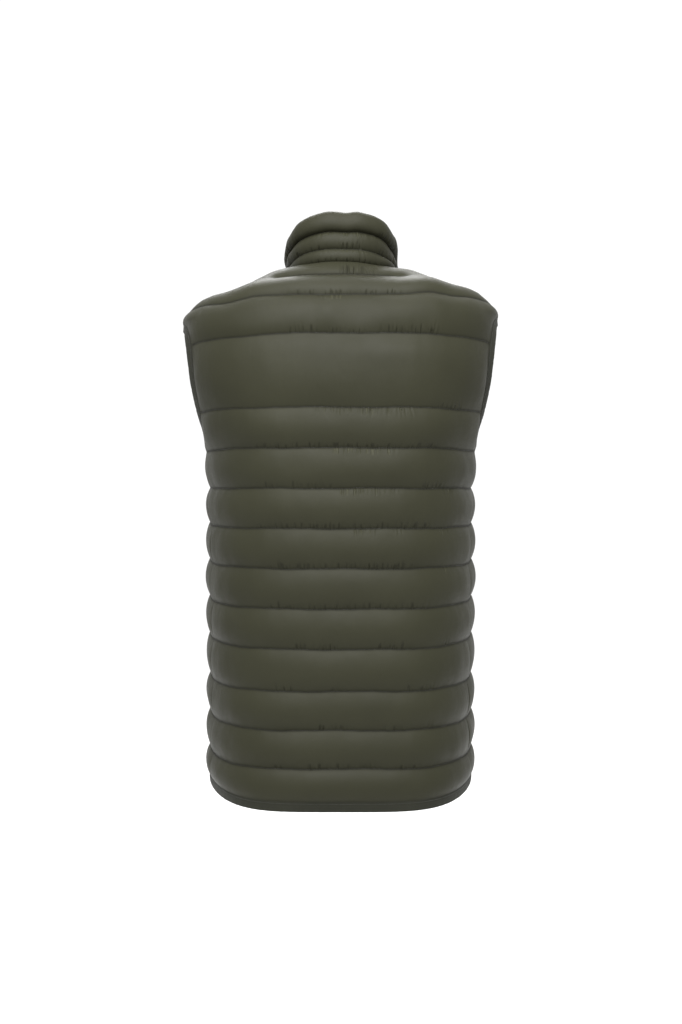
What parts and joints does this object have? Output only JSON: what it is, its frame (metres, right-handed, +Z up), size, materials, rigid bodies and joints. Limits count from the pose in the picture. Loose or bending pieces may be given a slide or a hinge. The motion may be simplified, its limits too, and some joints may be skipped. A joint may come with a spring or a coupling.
{
  "type": "puffer vest",
  "caption": "Sleeveless quilted puffer vest, zipped up and filled out as if worn, with a stand-up collar and bound armholes and hem.",
  "frame": {"origin": "between the wearer's shoulders, midway along the shoulder seams from front to back, a little under the neck", "axes": "+Z up, -Y out of the zipped front, +Y out of the back, +X the wearer's left"},
  "size_m": [0.4416, 0.2815, 0.7742],
  "materials": {
    "shell_cloth": "satin",
    "binding": "matte",
    "zip_tape": "matte",
    "zip_coil": "matte",
    "zip_metal": "satin"
  },
  "bodies": {
    "vest": {"back": "shell_cloth", "front_left": "shell_cloth", "front_right": "shell_cloth", "collar": "shell_cloth", "armhole_binding_left": "binding", "armhole_binding_right": "binding", "hem_binding": "binding", "zip_tape_left": "zip_tape", "zip_tape_right": "zip_tape", "zip_chain": "zip_coil", "zip_slider": "zip_metal", "zip_bottom_box": "zip_metal"},
    "pull_tab": {"zip_pull_tab": "zip_metal"}
  },
  "joints": [
    {"name": "pull_tab_swing", "type": "hinge", "parent": "vest", "child": "pull_tab", "pos_m": [0, -0.10812, 0.01956], "axis": [-1, 0, 0], "range_deg": [0, 160]}
  ]
}
